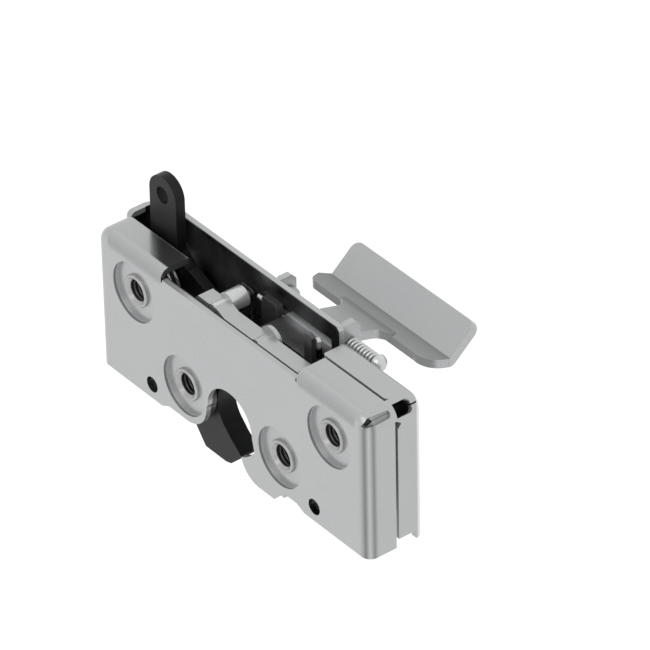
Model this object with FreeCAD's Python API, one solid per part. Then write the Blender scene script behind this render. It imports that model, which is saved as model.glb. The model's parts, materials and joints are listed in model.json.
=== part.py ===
# Single-rotor cab door latch: two pressed steel shells held together by four
# swaged threaded sleeves, with a rotor, a pawl, a release crank and a hinged
# inside-release paddle carried between and behind them.
#
# Frame: X runs along the latch, Y from the front mounting face (y = 0) to the
# rear, Z up, with the rotor's mouth facing down. The origin is the centre of
# the pattern of four threaded holes, on the mounting face. Sizes are in mm.

import FreeCAD, Part
import math
import os

V = FreeCAD.Vector
ALONG_X = V(1, 0, 0)
ALONG_Y = V(0, 1, 0)
ALONG_Z = V(0, 0, 1)

# Shells
length = 122.9
depth = 20.0
top_height = 24.8
front_drop = 23.3
rear_flange_drop = 20.6
sheet = 2.0
bend_radius = 3.0
corner_radius = 5.0
top_seam_gap = 0.8
end_seam_gap = 0.9
seam_relief = 1.5
end_seam_top = 20.2
end_relief_bottom = 17.3

# Opening and dent in the upper right corner, measured round the corner's arc
opening_start_deg = 13.0
opening_end_deg = 62.6
opening_width = 5.45
opening_round = 1.2
corner_slit = 0.5
corner_slit_deg = 37.0
dent_deg = 30.0
dent_depth = 0.8

# Top window, open for the crank, the pawl and the paddle's leg
window_drop = 2.8
window_left = -31.25
window_right = 30.7
window_notch = 0.7
window_notch_depth = 1.0
rear_tab_left = 28.9
rear_tab_right = 56.8
upstand_rise = 3.8
upstand_left = -51.0
upstand_right = 26.7
upstand_chamfer = 1.2
post_drop = 0.2
post_round = 1.8

# Threaded sleeves and their pressed recesses
upper_hole_x = 44.6
lower_hole_x = 21.9
hole_row_z = 10.1
thread_bore_radius = 3.4
spigot_radius = 4.75
lip_radius = 5.15
lip_height = 1.1
lip_round = 0.6
lip_flat = 0.75
sleeve_radius = 5.7
recess_radius = 9.6
recess_depth = 1.6
recess_wall = 1.0
drain_hole_x = 37.3
drain_hole_z = -18.3
drain_hole_radius = 2.55

# Mouth of the shells
mouth_x = -0.8
mouth_z = -10.7
mouth_radius = 10.2
lobe_x = -21.1
lobe_z = -12.3
lobe_radius = 9.4
left_scallop_end = -29.5
left_scallop_z = -21.7
beak_x = 4.1
beak_z = -20.2
foot_radius = 8.45
foot_z = -26.4
foot_right = 19.0
right_scallop_z = -21.8
right_scallop_end = 29.3
slope_run = 3.4

# Working clearances
running_gap = 0.1
side_gap = 0.3
bore_gap = 0.06
plate_gap = 0.25
finger_gap = 1.1
spacer_wall = 0.9
washer_wall = 3.0

# Rotor
rotor_thickness = 6.4
rotor_radius = 25.0
rotor_hub_radius = 12.0
rotor_ledge_radius = 14.0
throat_x = 20.2
throat_z = -1.4
sole_depth = 20.8
sole_left = 4.1
sole_right = 13.6
hook_tip_x = 21.1
hook_tip_z = -15.2
hook_toe_x = 16.0
hook_toe_z = -20.1
hook_back_x = 16.0
hook_back_z = -11.1
throat_low_deg = -131.0
throat_high_deg = -265.0
hub_right_deg = 42.0
hub_left_deg = 264.0
rotor_corner = 1.0
jaw_tip_deg = 19.0
jaw_back_deg = 60.0
throat_radius = 9.8
detent_offset = 2.6
detent_slope_deg = 28.0
nose_gap = 1.1

# Pawl
pawl_tab_front = 3.4
pawl_depth_z = 9.0
pawl_left = -19.8
pawl_jog_left = -9.7
pawl_jog_right = -4.7
pawl_slope_right = 28.0
pawl_hub_radius = 9.4
nose_width = 5.2
nose_bottom = 2.4
stud_x = -12.0
stud_drop = 1.6
stud_radius = 3.3
stud_tip_radius = 0.9
stud_tip_length = 2.4
stud_round = 0.35
button_x = 9.2
button_drop = 2.1
button_radius = 4.3
button_thickness = 1.2
shank_share = 0.55
shank_inset = 0.2

# Release crank
crank_inset = 8.5
crank_thickness = 3.3
crank_width = 12.3
crank_reach = 28.5
crank_hole_radius = 2.7
crank_hub_radius = 9.6
crank_arm_slope_deg = 19.3
crank_arm_depth = 8.2
crank_finger_width = 5.6

# Paddle, its hinge pin and the ears of the rear shell
hinge_behind = 3.3
hinge_drop = 4.3
pin_radius = 1.15
pin_head_radius = 2.75
pin_head_x = 37.3
pin_tail = 1.9
pin_groove = 0.9
pin_groove_depth = 0.4
ring_thickness = 0.7
ring_width = 1.2
ear_reach = 6.75
ear_chamfer = 1.65
ear_drop = 1.1
ear_below = 4.2
ear_heel_radius = 3.0
ear_relief_width = 0.5
ear_relief_length = 1.6
ear_relief_depth = 1.2
left_ear_x = -5.2
right_ear_x = 23.5
barrel_radius = 2.5
knuckle_radius = 3.7
knuckle_width = 1.0
paddle_thickness = 2.9
leg_left = 1.9
leg_right = 21.2
leg_drop = 1.0
leg_lead = 0.5
lip_depth = 4.0
slot_corner = 0.5
neck_left = 7.8
neck_right = 23.2
neck_rise_y = 3.2
neck_rise_z = 0.8
neck_slope_deg = 16.0
tab_behind = 13.1
tab_depth = 6.0
tab_overhang = 2.8
paddle_left = -7.1
paddle_right = 45.8
neck_fillet = 3.8
grip_angle_deg = 41.0
grip_width = 12.0
grip_corner = 3.0
finger_left = -14.6
finger_width = 1.5
finger_thickness = 1.8
finger_chamfer = 0.8
tine_width = 3.3
tine_depth = 1.5
tine_drop = 0.3
tine_round = 1.2
catch_pin_radius = 1.15
catch_pin_drop = 2.3
catch_pin_gap = 0.6

# Springs
wire_radius = 0.55
return_wire_radius = 0.5
return_turns = 8
return_leg = 3.5
return_leg_lean_deg = 20.0
rotor_spring_turns = 2
crank_spring_turns = 3
pivot_spring_clearance = 1.2
pivot_leg = 4.0
pull_coil_radius = 1.7
pull_coil_x = -8.3
pull_coil_inset = 2.6
pull_coil_bottom = -1.2
pull_pitch = 1.4
pull_half_turns = 11
pull_bend_radius = 1.2
pull_hook_end = -14.9

# Small plate and pin beside the pull spring
anchor_plate_thickness = 2.0
anchor_plate_left = -5.5
anchor_plate_drop = 1.5
anchor_plate_bottom = 12.0
anchor_pin_left = -8.0
anchor_pin_radius = 0.7
anchor_pin_drop = 3.5

# Values worked out from the ones above
half_length = length / 2
seam_y = depth / 2
rear_face = depth - sheet
floor_front = sheet + recess_depth
floor_rear = depth - floor_front
window_sill = top_height - window_drop
upstand_height = top_height + upstand_rise
stud_z = window_sill - stud_drop
button_z = window_sill - button_drop
crank_hole_z = hole_row_z + crank_reach
crank_front = depth - crank_inset
crank_back = crank_front + crank_thickness
stud_end = crank_back - running_gap
finger_back = crank_front - side_gap
finger_front = finger_back - finger_width
pawl_tab_back = finger_front - finger_gap
pawl_thickness = pawl_tab_back - pawl_tab_front
pawl_front = sheet + plate_gap
pawl_back = pawl_front + pawl_thickness
pawl_hub_front = floor_front + side_gap
pawl_hub_back = pawl_hub_front + pawl_thickness
rotor_front = floor_front + side_gap
rotor_back = rotor_front + rotor_thickness
hinge_y = depth + hinge_behind
hinge_z = top_height - hinge_drop
leg_front = finger_front + leg_lead
leg_top = hinge_z - leg_drop
leg_bottom = leg_top - paddle_thickness
neck_top_y = hinge_y + neck_rise_y
neck_top_z = hinge_z + neck_rise_z
tab_front_y = hinge_y + tab_behind
tine_top = upstand_height - tine_drop

UPPER_LEFT = (-upper_hole_x, hole_row_z)
UPPER_RIGHT = (upper_hole_x, hole_row_z)
LOWER_LEFT = (-lower_hole_x, -hole_row_z)
LOWER_RIGHT = (lower_hole_x, -hole_row_z)
SLEEVES = {
    "sleeve_upper_left": UPPER_LEFT,
    "sleeve_upper_right": UPPER_RIGHT,
    "sleeve_lower_left": LOWER_LEFT,
    "sleeve_lower_right": LOWER_RIGHT,
}


def to_xz(point, y):
    return V(point[0], y, point[1])


def to_yz(point, x):
    return V(x, point[0], point[1])


def to_xy(point, z):
    return V(point[0], point[1], z)


def outline(steps, place, level):
    """Closed wire: a step is a point, or (middle, end) for an arc."""
    edges = []
    here = place(steps[0], level)
    for step in steps[1:] + [steps[0]]:
        if isinstance(step[0], tuple):
            middle = place(step[0], level)
            end = place(step[1], level)
            edges.append(Part.Arc(here, middle, end).toShape())
        else:
            end = place(step, level)
            if here.distanceToPoint(end) > 1e-6:
                edges.append(Part.LineSegment(here, end).toShape())
        here = end
    return Part.Wire(edges)


def plate_xz(steps, y_front, y_back):
    """Plate of the given front-view outline between two depths."""
    face = Part.Face(outline(steps, to_xz, y_front))
    return face.extrude(V(0, y_back - y_front, 0))


def plate_yz(steps, x_left, x_right):
    """Bar of the given side-view section between two stations."""
    face = Part.Face(outline(steps, to_yz, x_left))
    return face.extrude(V(x_right - x_left, 0, 0))


def block(x_left, x_right, y_front, y_back, z_low, z_high):
    return Part.makeBox(x_right - x_left, y_back - y_front, z_high - z_low,
                        V(x_left, y_front, z_low))


def disc(centre, radius, y_front, y_back):
    """Cylinder along Y at a front-view point."""
    return Part.makeCylinder(radius, y_back - y_front,
                             V(centre[0], y_front, centre[1]), ALONG_Y)


def rod(radius, x_left, x_right, y=hinge_y, z=hinge_z):
    """Cylinder along X, by default on the hinge axis."""
    return Part.makeCylinder(radius, x_right - x_left, V(x_left, y, z), ALONG_X)


def polar(centre, radius, angle_deg):
    angle = math.radians(angle_deg)
    return (centre[0] + radius * math.cos(angle), centre[1] + radius * math.sin(angle))


def arc_to(centre, radius, start_deg, end_deg):
    """Arc step for outline, about a centre."""
    middle = polar(centre, radius, (start_deg + end_deg) / 2)
    return (middle, polar(centre, radius, end_deg))


def angle_of(centre, point):
    return math.degrees(math.atan2(point[1] - centre[1], point[0] - centre[0]))


def tray_outline(inset, radius, bottom):
    """Front view of a shell: square at the bottom, rounded at the top."""
    side = half_length - inset
    top = top_height - inset
    left = (-side + radius, top - radius)
    right = (side - radius, top - radius)
    return [
        (-side, bottom),
        (-side, top - radius),
        arc_to(left, radius, 180, 90),
        (side - radius, top),
        arc_to(right, radius, 90, 0),
        (side, bottom),
    ]


def round_front(solid, y, radius, bottom):
    """Fillet the edges in the plane y, except the bottom one."""
    edges = []
    for edge in solid.Edges:
        points = [v.Point for v in edge.Vertexes]
        in_plane = all(abs(p.y - y) < 1e-6 for p in points)
        at_bottom = all(abs(p.z - bottom) < 1e-6 for p in points)
        if in_plane and not at_bottom:
            edges.append(edge)
    return solid.makeFillet(radius, edges)


def tray(flange_depth, flange_drop):
    """Pressed shell with its plate at y = 0 and its flanges towards +Y."""
    outer = plate_xz(tray_outline(0, corner_radius, -front_drop), 0, flange_depth)
    outer = round_front(outer, 0, bend_radius, -front_drop)
    below = -front_drop - sheet
    inner = plate_xz(tray_outline(sheet, corner_radius - sheet, below), sheet,
                     flange_depth + sheet)
    inner = round_front(inner, sheet, bend_radius - sheet, below)
    body = outer.cut(inner)
    side = half_length + sheet
    for sign in (-1, 1):
        x_in = sign * (half_length - bend_radius)
        x_out = sign * side
        body = body.cut(block(min(x_in, x_out), max(x_in, x_out), bend_radius,
                              flange_depth + sheet, -front_drop - sheet, -flange_drop))
    return body


def mouth_cut(y_front, y_back):
    """What the mouth and the scallops beside it take from a plate's lower edge."""
    low = foot_z - sheet
    mouth = (mouth_x, mouth_z)
    lobe = (lobe_x, lobe_z)
    foot = (beak_x + foot_radius - 0.4, foot_z + foot_radius)
    beak = (beak_x, beak_z)
    beak_angle = angle_of(foot, beak)
    shoulder = (mouth_x + mouth_radius + 1.0, mouth_z - 4.35)
    hollow = ((beak_x + 4.4, beak_z + 2.9), beak)
    left = (mouth_x - mouth_radius, mouth_z)
    cut = [
        (left_scallop_end - slope_run, low),
        (left_scallop_end - slope_run, -front_drop),
        (left_scallop_end, left_scallop_z),
        (lobe_x, lobe_z - lobe_radius),
        arc_to(lobe, lobe_radius, -90, 0),
        left,
        arc_to(mouth, mouth_radius, 180, 0),
        shoulder,
        hollow,
        arc_to(foot, foot_radius, beak_angle, -90),
        (foot[0], low),
    ]
    return plate_xz(cut, y_front, y_back)


def foot_plate(y_front, y_back):
    """Part of the plate below its straight edge, right of the mouth."""
    foot_left = beak_x + foot_radius - 0.4
    rise = foot_right + (right_scallop_z - foot_z)
    points = [
        (beak_x - 1.0, -front_drop + 1.0),
        (beak_x - 1.0, foot_z),
        (foot_left, foot_z),
        (foot_right, foot_z),
        (rise, right_scallop_z),
        (rise, -front_drop + 2.5),
    ]
    return plate_xz(points, y_front, y_back)


def right_scallop(y_front, y_back):
    rise = foot_right + (right_scallop_z - foot_z)
    run = -front_drop - sheet
    points = [
        (rise, right_scallop_z),
        (right_scallop_end, right_scallop_z),
        (right_scallop_end + slope_run, -front_drop),
        (right_scallop_end + slope_run, run),
        (rise, run),
    ]
    return plate_xz(points, y_front, y_back)


def shell_plate_work(body):
    """Recesses, holes and the mouth, common to both shells."""
    body = body.fuse(foot_plate(0, sheet))
    for centre in SLEEVES.values():
        body = body.fuse(disc(centre, recess_radius + recess_wall, sheet / 2, floor_front))
    body = body.cut(mouth_cut(-1, floor_front + 1))
    body = body.cut(right_scallop(-1, sheet + 1))
    for centre in SLEEVES.values():
        body = body.cut(disc(centre, recess_radius, -1, recess_depth))
        body = body.cut(disc(centre, spigot_radius, -1, floor_front + 1))
    for sign in (-1, 1):
        hole = (sign * drain_hole_x, drain_hole_z)
        body = body.cut(disc(hole, drain_hole_radius, -1, sheet + 1))
    return body


def corner_centre(side):
    """Centre of the arc at an upper corner; side is -1 or 1."""
    return (side * (half_length - corner_radius), top_height - corner_radius)


def to_corner(shape, angle_deg):
    """Turn a shape built outwards along +X to an angle of the right corner's arc."""
    centre = corner_centre(1)
    shape.rotate(V(0, 0, 0), ALONG_Y, -angle_deg)
    shape.translate(V(centre[0], 0, centre[1]))
    return shape


def corner_dent():
    """Lens-shaped dent in the front shell, where its top flange curls over the end."""
    floor = corner_radius - dent_depth
    lens = [
        (0.2, 0.8),
        ((1.4, 2.0), (3.4, 2.3)),
        (9.0, 1.9),
        (9.2, 1.0),
        ((8.9, 0.1), (8.2, -0.3)),
        (3.3, -0.4),
        (0.6, -0.1),
    ]
    tip = [
        (0.2, 0.8),
        ((1.1, 1.6), (2.6, 2.1)),
        (3.4, 0.9),
        (0.6, -0.1),
    ]
    top = corner_radius + sheet
    dent = plate_yz(lens, floor, top).fuse(plate_yz(tip, floor - sheet, top))
    return to_corner(dent, dent_deg)


def top_seam():
    """Open seam behind the front shell's top flange, deeper beside the corner."""
    y_edge = seam_y + top_seam_gap
    y_relief = seam_y + seam_relief
    step = seam_relief / 2
    plan = [
        (rear_tab_left - step, seam_y - 1),
        (rear_tab_left - step, y_edge + step),
        (rear_tab_left, y_edge + step),
        ((rear_tab_left + 0.3 * step, y_edge + 0.3 * step), (rear_tab_left + step, y_edge)),
        (rear_tab_right - 2 * step, y_edge),
        ((rear_tab_right - step, y_edge + 0.3 * step), (rear_tab_right - 0.2, y_relief)),
        (rear_tab_right, y_relief),
        (rear_tab_right, seam_y - 1),
    ]
    low = top_height - sheet - 0.5
    face = Part.Face(outline(plan, to_xy, low))
    return face.extrude(V(0, 0, top_height + 1 - low))


def end_seams():
    """Open seams behind the front shell's end flanges."""
    low = -rear_flange_drop - 1
    y_edge = seam_y + end_seam_gap
    y_relief = seam_y + seam_relief + 0.5
    right = [
        (seam_y - 1, low),
        (y_edge, low),
        (y_edge, end_relief_bottom),
        (y_relief, end_relief_bottom + 1.3),
        (y_relief, end_seam_top - 1.0),
        (seam_y + 0.4, end_seam_top),
        (seam_y - 1, end_seam_top),
    ]
    inside = half_length - bend_radius
    outside = half_length + 1
    left = block(-outside, -inside, seam_y - 1, y_edge, low, top_height)
    return left.fuse(plate_yz(right, inside, outside))


def corner_opening():
    """Opening through the rear shell's upper right corner, with a slit behind it."""
    spread = math.radians(opening_end_deg - opening_start_deg) / 2
    half_chord = corner_radius * math.sin(spread)
    y_front = seam_y + end_seam_gap
    y_back = y_front + opening_width
    outside = corner_radius + sheet
    hole = block(corner_radius - 1.5 * sheet, outside, y_front, y_back,
                 -half_chord, half_chord)
    rear_edges = [e for e in hole.Edges if e.CenterOfMass.y > y_back - 1e-6
                  and abs(e.Vertexes[0].X - e.Vertexes[-1].X) > 1]
    hole = hole.makeFillet(opening_round, rear_edges)
    slit = block(corner_radius - sheet - 0.5, outside, y_back - 1, rear_face + 0.5,
                 -corner_slit / 2, corner_slit / 2)
    hole = to_corner(hole, (opening_start_deg + opening_end_deg) / 2)
    return hole.fuse(to_corner(slit, corner_slit_deg))


def to_rear(shape):
    """Mirror a front shell's shape to the rear of the latch."""
    return shape.mirror(V(0, depth / 2, 0), ALONG_Y)


def make_front_shell():
    body = shell_plate_work(tray(seam_y, front_drop))
    body = body.cut(block(window_left, window_right, -1, seam_y + 1,
                          window_sill, top_height + 1))
    for x_notch in (window_left, window_right - window_notch):
        body = body.cut(block(x_notch, x_notch + window_notch, -1, bend_radius,
                              window_sill - window_notch_depth, window_sill + 1))
    return body.cut(corner_dent())


def upstand():
    """Rear plate carried up behind the window."""
    base = window_sill - bend_radius
    left = -half_length + bend_radius
    shoulder = top_height - post_drop
    chamfer = upstand_chamfer
    points = [
        (left, base),
        (left, shoulder),
        (upstand_left - bend_radius, shoulder),
        (upstand_left, upstand_height),
        (upstand_right - chamfer, upstand_height),
        (upstand_right, upstand_height - chamfer),
        (upstand_right, base),
    ]
    return plate_xz(points, rear_face, depth)


def left_post():
    """Left end flange carried up square and bent round into the upstand."""
    left = -half_length
    bend = (left + bend_radius, depth - bend_radius)
    front = seam_y + end_seam_gap
    low = top_height - corner_radius
    high = top_height - post_drop
    plan = [
        (left, front),
        (left, bend[1]),
        arc_to(bend, bend_radius, 180, 90),
        (bend[0], rear_face),
        arc_to(bend, bend_radius - sheet, 90, 180),
        (left + sheet, front),
    ]
    face = Part.Face(outline(plan, to_xy, low))
    post = face.extrude(V(0, 0, high - low))
    rim = [e for e in post.Edges if abs(e.CenterOfMass.y - front) < 1e-6
           and abs(e.CenterOfMass.z - high) < 1e-6]
    return post.makeFillet(post_round, rim)


def ear(x_left):
    """Hinge ear bent back from the rear plate, with its pin hole and root relief."""
    back = depth + ear_reach
    root = depth - sheet / 2
    top = upstand_height - ear_drop
    bottom = hinge_z - ear_below
    heel = (back - ear_heel_radius, bottom + ear_heel_radius)
    points = [
        (root, bottom),
        (heel[0], bottom),
        arc_to(heel, ear_heel_radius, -90, 0),
        (back, top - ear_chamfer),
        (back - ear_chamfer, top),
        (root, top),
    ]
    plate = plate_yz(points, x_left, x_left + sheet)
    relief = block(x_left - 1, x_left + ear_relief_width, depth, depth + ear_relief_length,
                   top - ear_relief_depth, top + 1)
    return plate.cut(relief).cut(rod(pin_radius + bore_gap, x_left - 1, x_left + sheet + 1))


def leg_slot():
    """Slot in the rear plate for the paddle's leg and barrel."""
    left = left_ear_x + sheet
    right = right_ear_x
    low = leg_bottom - side_gap
    high = hinge_z + barrel_radius + side_gap
    opening = block(left, right, rear_face - 1, depth + 1, low, high)
    corners = [(left, low), (left, high), (right, low), (right, high)]
    return opening.makeFillet(slot_corner, [e for e in opening.Edges if is_corner(e, corners)])


def make_rear_shell():
    body = to_rear(shell_plate_work(tray(depth - seam_y, rear_flange_drop)))
    body = body.cut(top_seam()).cut(end_seams()).cut(corner_opening())
    body = body.cut(block(-half_length + sheet, rear_tab_left, 0, depth + 1,
                          window_sill, top_height + 1))
    body = body.cut(block(-half_length - 1, -half_length + bend_radius, 0, depth + 1,
                          top_height - corner_radius, top_height + 1))
    body = body.fuse([left_post(), upstand()])
    for x_left in (left_ear_x, right_ear_x):
        body = body.fuse(ear(x_left))
    return body.cut(leg_slot()).removeSplitter()


def make_sleeve(centre):
    """Threaded sleeve, shouldered between the shells and swaged over both."""
    body = disc(centre, sleeve_radius, floor_front, floor_rear)
    body = body.fuse(disc(centre, spigot_radius, recess_depth, depth - recess_depth))
    y_lip = recess_depth - lip_height
    lip = disc(centre, lip_radius, y_lip, recess_depth)
    rim = [e for e in lip.Edges if abs(e.CenterOfMass.y - y_lip) < 1e-6]
    lip = lip.makeFillet(lip_round, rim)
    body = body.fuse([lip, to_rear(lip)])
    body = body.cut(disc(centre, thread_bore_radius, -1, depth + 1))
    chamfer = lip_radius - thread_bore_radius - lip_flat
    cone = Part.makeCone(thread_bore_radius + chamfer, thread_bore_radius, chamfer,
                         V(centre[0], y_lip, centre[1]), ALONG_Y)
    return body.cut(cone).cut(to_rear(cone))


def rotor_outline():
    """Front view of the fork, from its hook round the throat, the jaw and the hub."""
    pivot = LOWER_LEFT
    throat = from_pivot(throat_x, throat_z)
    slope = math.tan(math.radians(detent_slope_deg))
    foot_x = detent_offset + (rotor_ledge_radius - rotor_hub_radius) * slope
    foot_angle = math.degrees(math.acos(foot_x / rotor_hub_radius))
    head_angle = math.degrees(math.acos(detent_offset / rotor_ledge_radius))
    return [
        from_pivot(hook_tip_x, hook_tip_z),
        from_pivot(hook_tip_x - 1.6, hook_tip_z + 1.4),
        from_pivot(hook_back_x, hook_back_z),
        polar(throat, throat_radius, throat_low_deg),
        arc_to(throat, throat_radius, throat_low_deg, throat_high_deg),
        polar(pivot, rotor_radius, jaw_tip_deg),
        arc_to(pivot, rotor_radius, jaw_tip_deg, jaw_back_deg),
        polar(pivot, rotor_hub_radius, hub_right_deg),
        arc_to(pivot, rotor_hub_radius, hub_right_deg, foot_angle),
        polar(pivot, rotor_ledge_radius, head_angle),
        arc_to(pivot, rotor_ledge_radius, head_angle, hub_left_deg),
        from_pivot(sole_left, -sole_depth),
        from_pivot(sole_right, -sole_depth),
        from_pivot(hook_toe_x, hook_toe_z),
    ]


def from_pivot(x, z):
    """Front-view point measured from the rotor's pivot."""
    return (LOWER_LEFT[0] + x, LOWER_LEFT[1] + z)


def make_rotor():
    """Fork that turns on the lower left sleeve and holds the striker."""
    pivot = LOWER_LEFT
    body = plate_xz(rotor_outline(), rotor_front, rotor_back)
    sharp = [
        from_pivot(sole_left, -sole_depth),
        from_pivot(hook_toe_x, hook_toe_z),
        from_pivot(hook_tip_x, hook_tip_z),
        polar(pivot, rotor_radius, jaw_tip_deg),
        polar(pivot, rotor_radius, jaw_back_deg),
    ]
    upright = [e for e in body.Edges if is_corner(e, sharp)]
    body = body.makeFillet(rotor_corner, upright)
    return body.cut(disc(pivot, sleeve_radius + bore_gap, 0, depth))


def is_corner(edge, corners):
    """True for an edge along Y that stands on one of the given corners."""
    first = edge.Vertexes[0].Point
    last = edge.Vertexes[-1].Point
    if abs(first.x - last.x) > 1e-6 or abs(first.z - last.z) > 1e-6:
        return False
    return any(abs(first.x - c[0]) < 1e-3 and abs(first.z - c[1]) < 1e-3 for c in corners)


def pawl_path():
    """Plan view of the pawl: straight strip with a jog at the tab and at the hub."""
    tab = pawl_tab_front
    mid = pawl_front
    hub = pawl_hub_front
    right = upper_hole_x + pawl_hub_radius
    hub_jog = upper_hole_x - recess_radius - recess_wall - 1.5
    front = [(pawl_left, tab), (pawl_jog_left, tab), (pawl_jog_right, mid),
             (hub_jog - 3.0, mid), (hub_jog, hub), (right, hub)]
    back = [(x, y + pawl_thickness) for x, y in reversed(front)]
    return front + back


def pawl_profile():
    """Front view of the pawl: strip, hub on its sleeve, and the nose at the detent."""
    top = window_sill
    bottom = top - pawl_depth_z
    hub_top = (upper_hole_x, hole_row_z + pawl_hub_radius)
    slope = math.tan(math.radians(detent_slope_deg))
    ledge_z = -hole_row_z + rotor_ledge_radius
    nose_head = -lower_hole_x + detent_offset + nose_gap
    nose_foot = nose_head + (ledge_z - nose_bottom) * slope
    nose_right = nose_head + nose_width
    return [
        (pawl_left + 1.5, top),
        (pawl_slope_right, top),
        (pawl_slope_right + 4.0, hub_top[1] - 1.6),
        hub_top,
        (polar(UPPER_RIGHT, pawl_hub_radius, 0), polar(UPPER_RIGHT, pawl_hub_radius, -90)),
        (upper_hole_x - pawl_hub_radius, hole_row_z - 3.0),
        (pawl_slope_right - 4.0, bottom),
        (nose_right + 3.0, bottom),
        (nose_right, bottom - 3.0),
        (nose_right, nose_bottom),
        (nose_foot, nose_bottom),
        (nose_head, ledge_z),
        (nose_head - 0.5, ledge_z + 1.0),
        (nose_head - 0.5, bottom),
        (pawl_left, bottom + 1.5),
        (pawl_left, top - 1.5),
    ]


def make_pawl():
    """Blocking lever that turns on the upper right sleeve."""
    low = nose_bottom - 10
    face = Part.Face(outline(pawl_path(), to_xy, low))
    slab = face.extrude(V(0, 0, window_sill - low + 1))
    profile = plate_xz(pawl_profile(), 0, depth)
    body = slab.common(profile)
    body = body.cut(disc(UPPER_RIGHT, sleeve_radius + bore_gap, 0, depth))
    body = body.cut(disc((stud_x, stud_z), stud_radius * shank_share, 0, depth))
    return body.cut(disc((button_x, button_z), button_radius * shank_share, 0, depth))


def make_pawl_stud():
    """Stud riveted through the pawl's tab, which the crank and the paddle lift."""
    centre = (stud_x, stud_z)
    body = disc(centre, stud_radius, pawl_tab_back, stud_end)
    rim = [e for e in body.Edges if abs(e.CenterOfMass.y - stud_end) < 1e-6]
    body = body.makeFillet(stud_round, rim)
    shank = disc(centre, stud_radius * shank_share, pawl_tab_front + shank_inset, pawl_tab_back)
    tip = disc(centre, stud_tip_radius, stud_end, stud_end + stud_tip_length)
    return body.fuse([shank, tip])


def make_pawl_button():
    """Flat-headed rivet on the back of the pawl."""
    centre = (button_x, button_z)
    shank = disc(centre, button_radius * shank_share, pawl_front + shank_inset, pawl_back)
    head = disc(centre, button_radius, pawl_back, pawl_back + button_thickness)
    return shank.fuse(head)


def make_release_crank():
    """Bell crank on the upper left sleeve: rod eye up, lifting finger to the right."""
    pivot = UPPER_LEFT
    half = crank_width / 2
    eye = (pivot[0], crank_hole_z)
    fall = math.tan(math.radians(crank_arm_slope_deg))
    arm_start = (pivot[0] + half + 5.0, pivot[1] + crank_hub_radius - 1.3)
    tip_right = stud_x + crank_finger_width / 2
    tip_left = stud_x - crank_finger_width / 2
    tip_top = stud_z - stud_radius - side_gap
    dip = (tip_left - 3.0, arm_start[1] - (tip_left - 3.0 - arm_start[0]) * fall)
    low_right = (tip_right, tip_top - crank_arm_depth)
    points = [
        (pivot[0] - half, eye[1]),
        arc_to(eye, half, 180, 0),
        (pivot[0] + half, arm_start[1] + 3.6),
        ((pivot[0] + half + 1.4, arm_start[1] + 1.3), arm_start),
        dip,
        (tip_left, tip_top - 2.2),
        (tip_left + 1.2, tip_top),
        (tip_right - 1.2, tip_top),
        (tip_right, tip_top - 1.2),
        low_right,
        (dip[0], dip[1] - crank_arm_depth),
        (pivot[0] + 5.0, pivot[1] - crank_hub_radius + 1.2),
        (pivot[0], pivot[1] - crank_hub_radius),
        (polar(pivot, crank_hub_radius, 200), (pivot[0] - half, pivot[1] + 7.2)),
    ]
    body = plate_xz(points, crank_front, crank_back)
    body = body.cut(disc(pivot, sleeve_radius + bore_gap, 0, depth))
    return body.cut(disc(eye, crank_hole_radius, 0, depth))


def tube(centre, inner, wall, y_front, y_back):
    """Plain spacer tube along Y."""
    return disc(centre, inner + wall, y_front, y_back).cut(disc(centre, inner, y_front, y_back))


def neck_section():
    """Side view of the paddle's neck, from the hinge axis to the flat part."""
    slope = math.radians(neck_slope_deg)
    top_y = tab_front_y + 2.0
    top_z = neck_top_z - (top_y - neck_top_y) * math.tan(slope)
    down = paddle_thickness / math.cos(slope)
    return [
        (hinge_y, leg_top),
        (neck_top_y, neck_top_z),
        (top_y, top_z),
        (top_y, top_z - down),
        (neck_top_y, neck_top_z - down),
        (hinge_y, leg_bottom),
    ]


def tab_height():
    """Height of the upper face of the paddle's flat part."""
    run = tab_front_y + 2.0 - neck_top_y
    return neck_top_z - run * math.tan(math.radians(neck_slope_deg))


def flat_blade(low):
    """Flat part of the paddle in plan, rounded at both ends."""
    bend_y = tab_front_y + tab_depth
    far_left = paddle_left - tab_overhang
    curve_left = paddle_right - 9.0
    steps = [
        (paddle_left, bend_y),
        (far_left, bend_y - 2.6),
        (far_left + 0.3, tab_front_y + 1.6),
        ((far_left + 0.9, tab_front_y + 0.5), (far_left + 2.4, tab_front_y)),
        (curve_left, tab_front_y),
        ((paddle_right - 3.0, tab_front_y + 1.5), (paddle_right, bend_y)),
    ]
    face = Part.Face(outline(steps, to_xy, low))
    return face.extrude(V(0, 0, paddle_thickness))


def grip():
    """Paddle's long blade: flat part with rounded ends, and the inclined grip."""
    high = tab_height()
    low = high - paddle_thickness
    bend_y = tab_front_y + tab_depth
    bend = (bend_y, high)
    tip = polar(bend, grip_width, grip_angle_deg)
    tip_back = polar(tip, paddle_thickness, grip_angle_deg - 90)
    root = bend_y - 0.5
    section = [
        (root, low),
        (root, high),
        bend,
        tip,
        tip_back,
        polar(bend, paddle_thickness, grip_angle_deg - 90),
        arc_to(bend, paddle_thickness, grip_angle_deg - 90, -90),
    ]
    blade = plate_yz(section, paddle_left, paddle_right)
    corners = [e for e in blade.Edges if is_across(e, tip_back[1])]
    blade = blade.makeFillet(grip_corner, corners)
    return flat_blade(low).fuse(blade)


def is_across(edge, level):
    """True for an edge in a plane of constant x, at or above a level."""
    points = [v.Point for v in edge.Vertexes]
    same_x = abs(points[0].x - points[-1].x) < 1e-6
    return same_x and all(p.z > level - 1e-3 for p in points)


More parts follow.
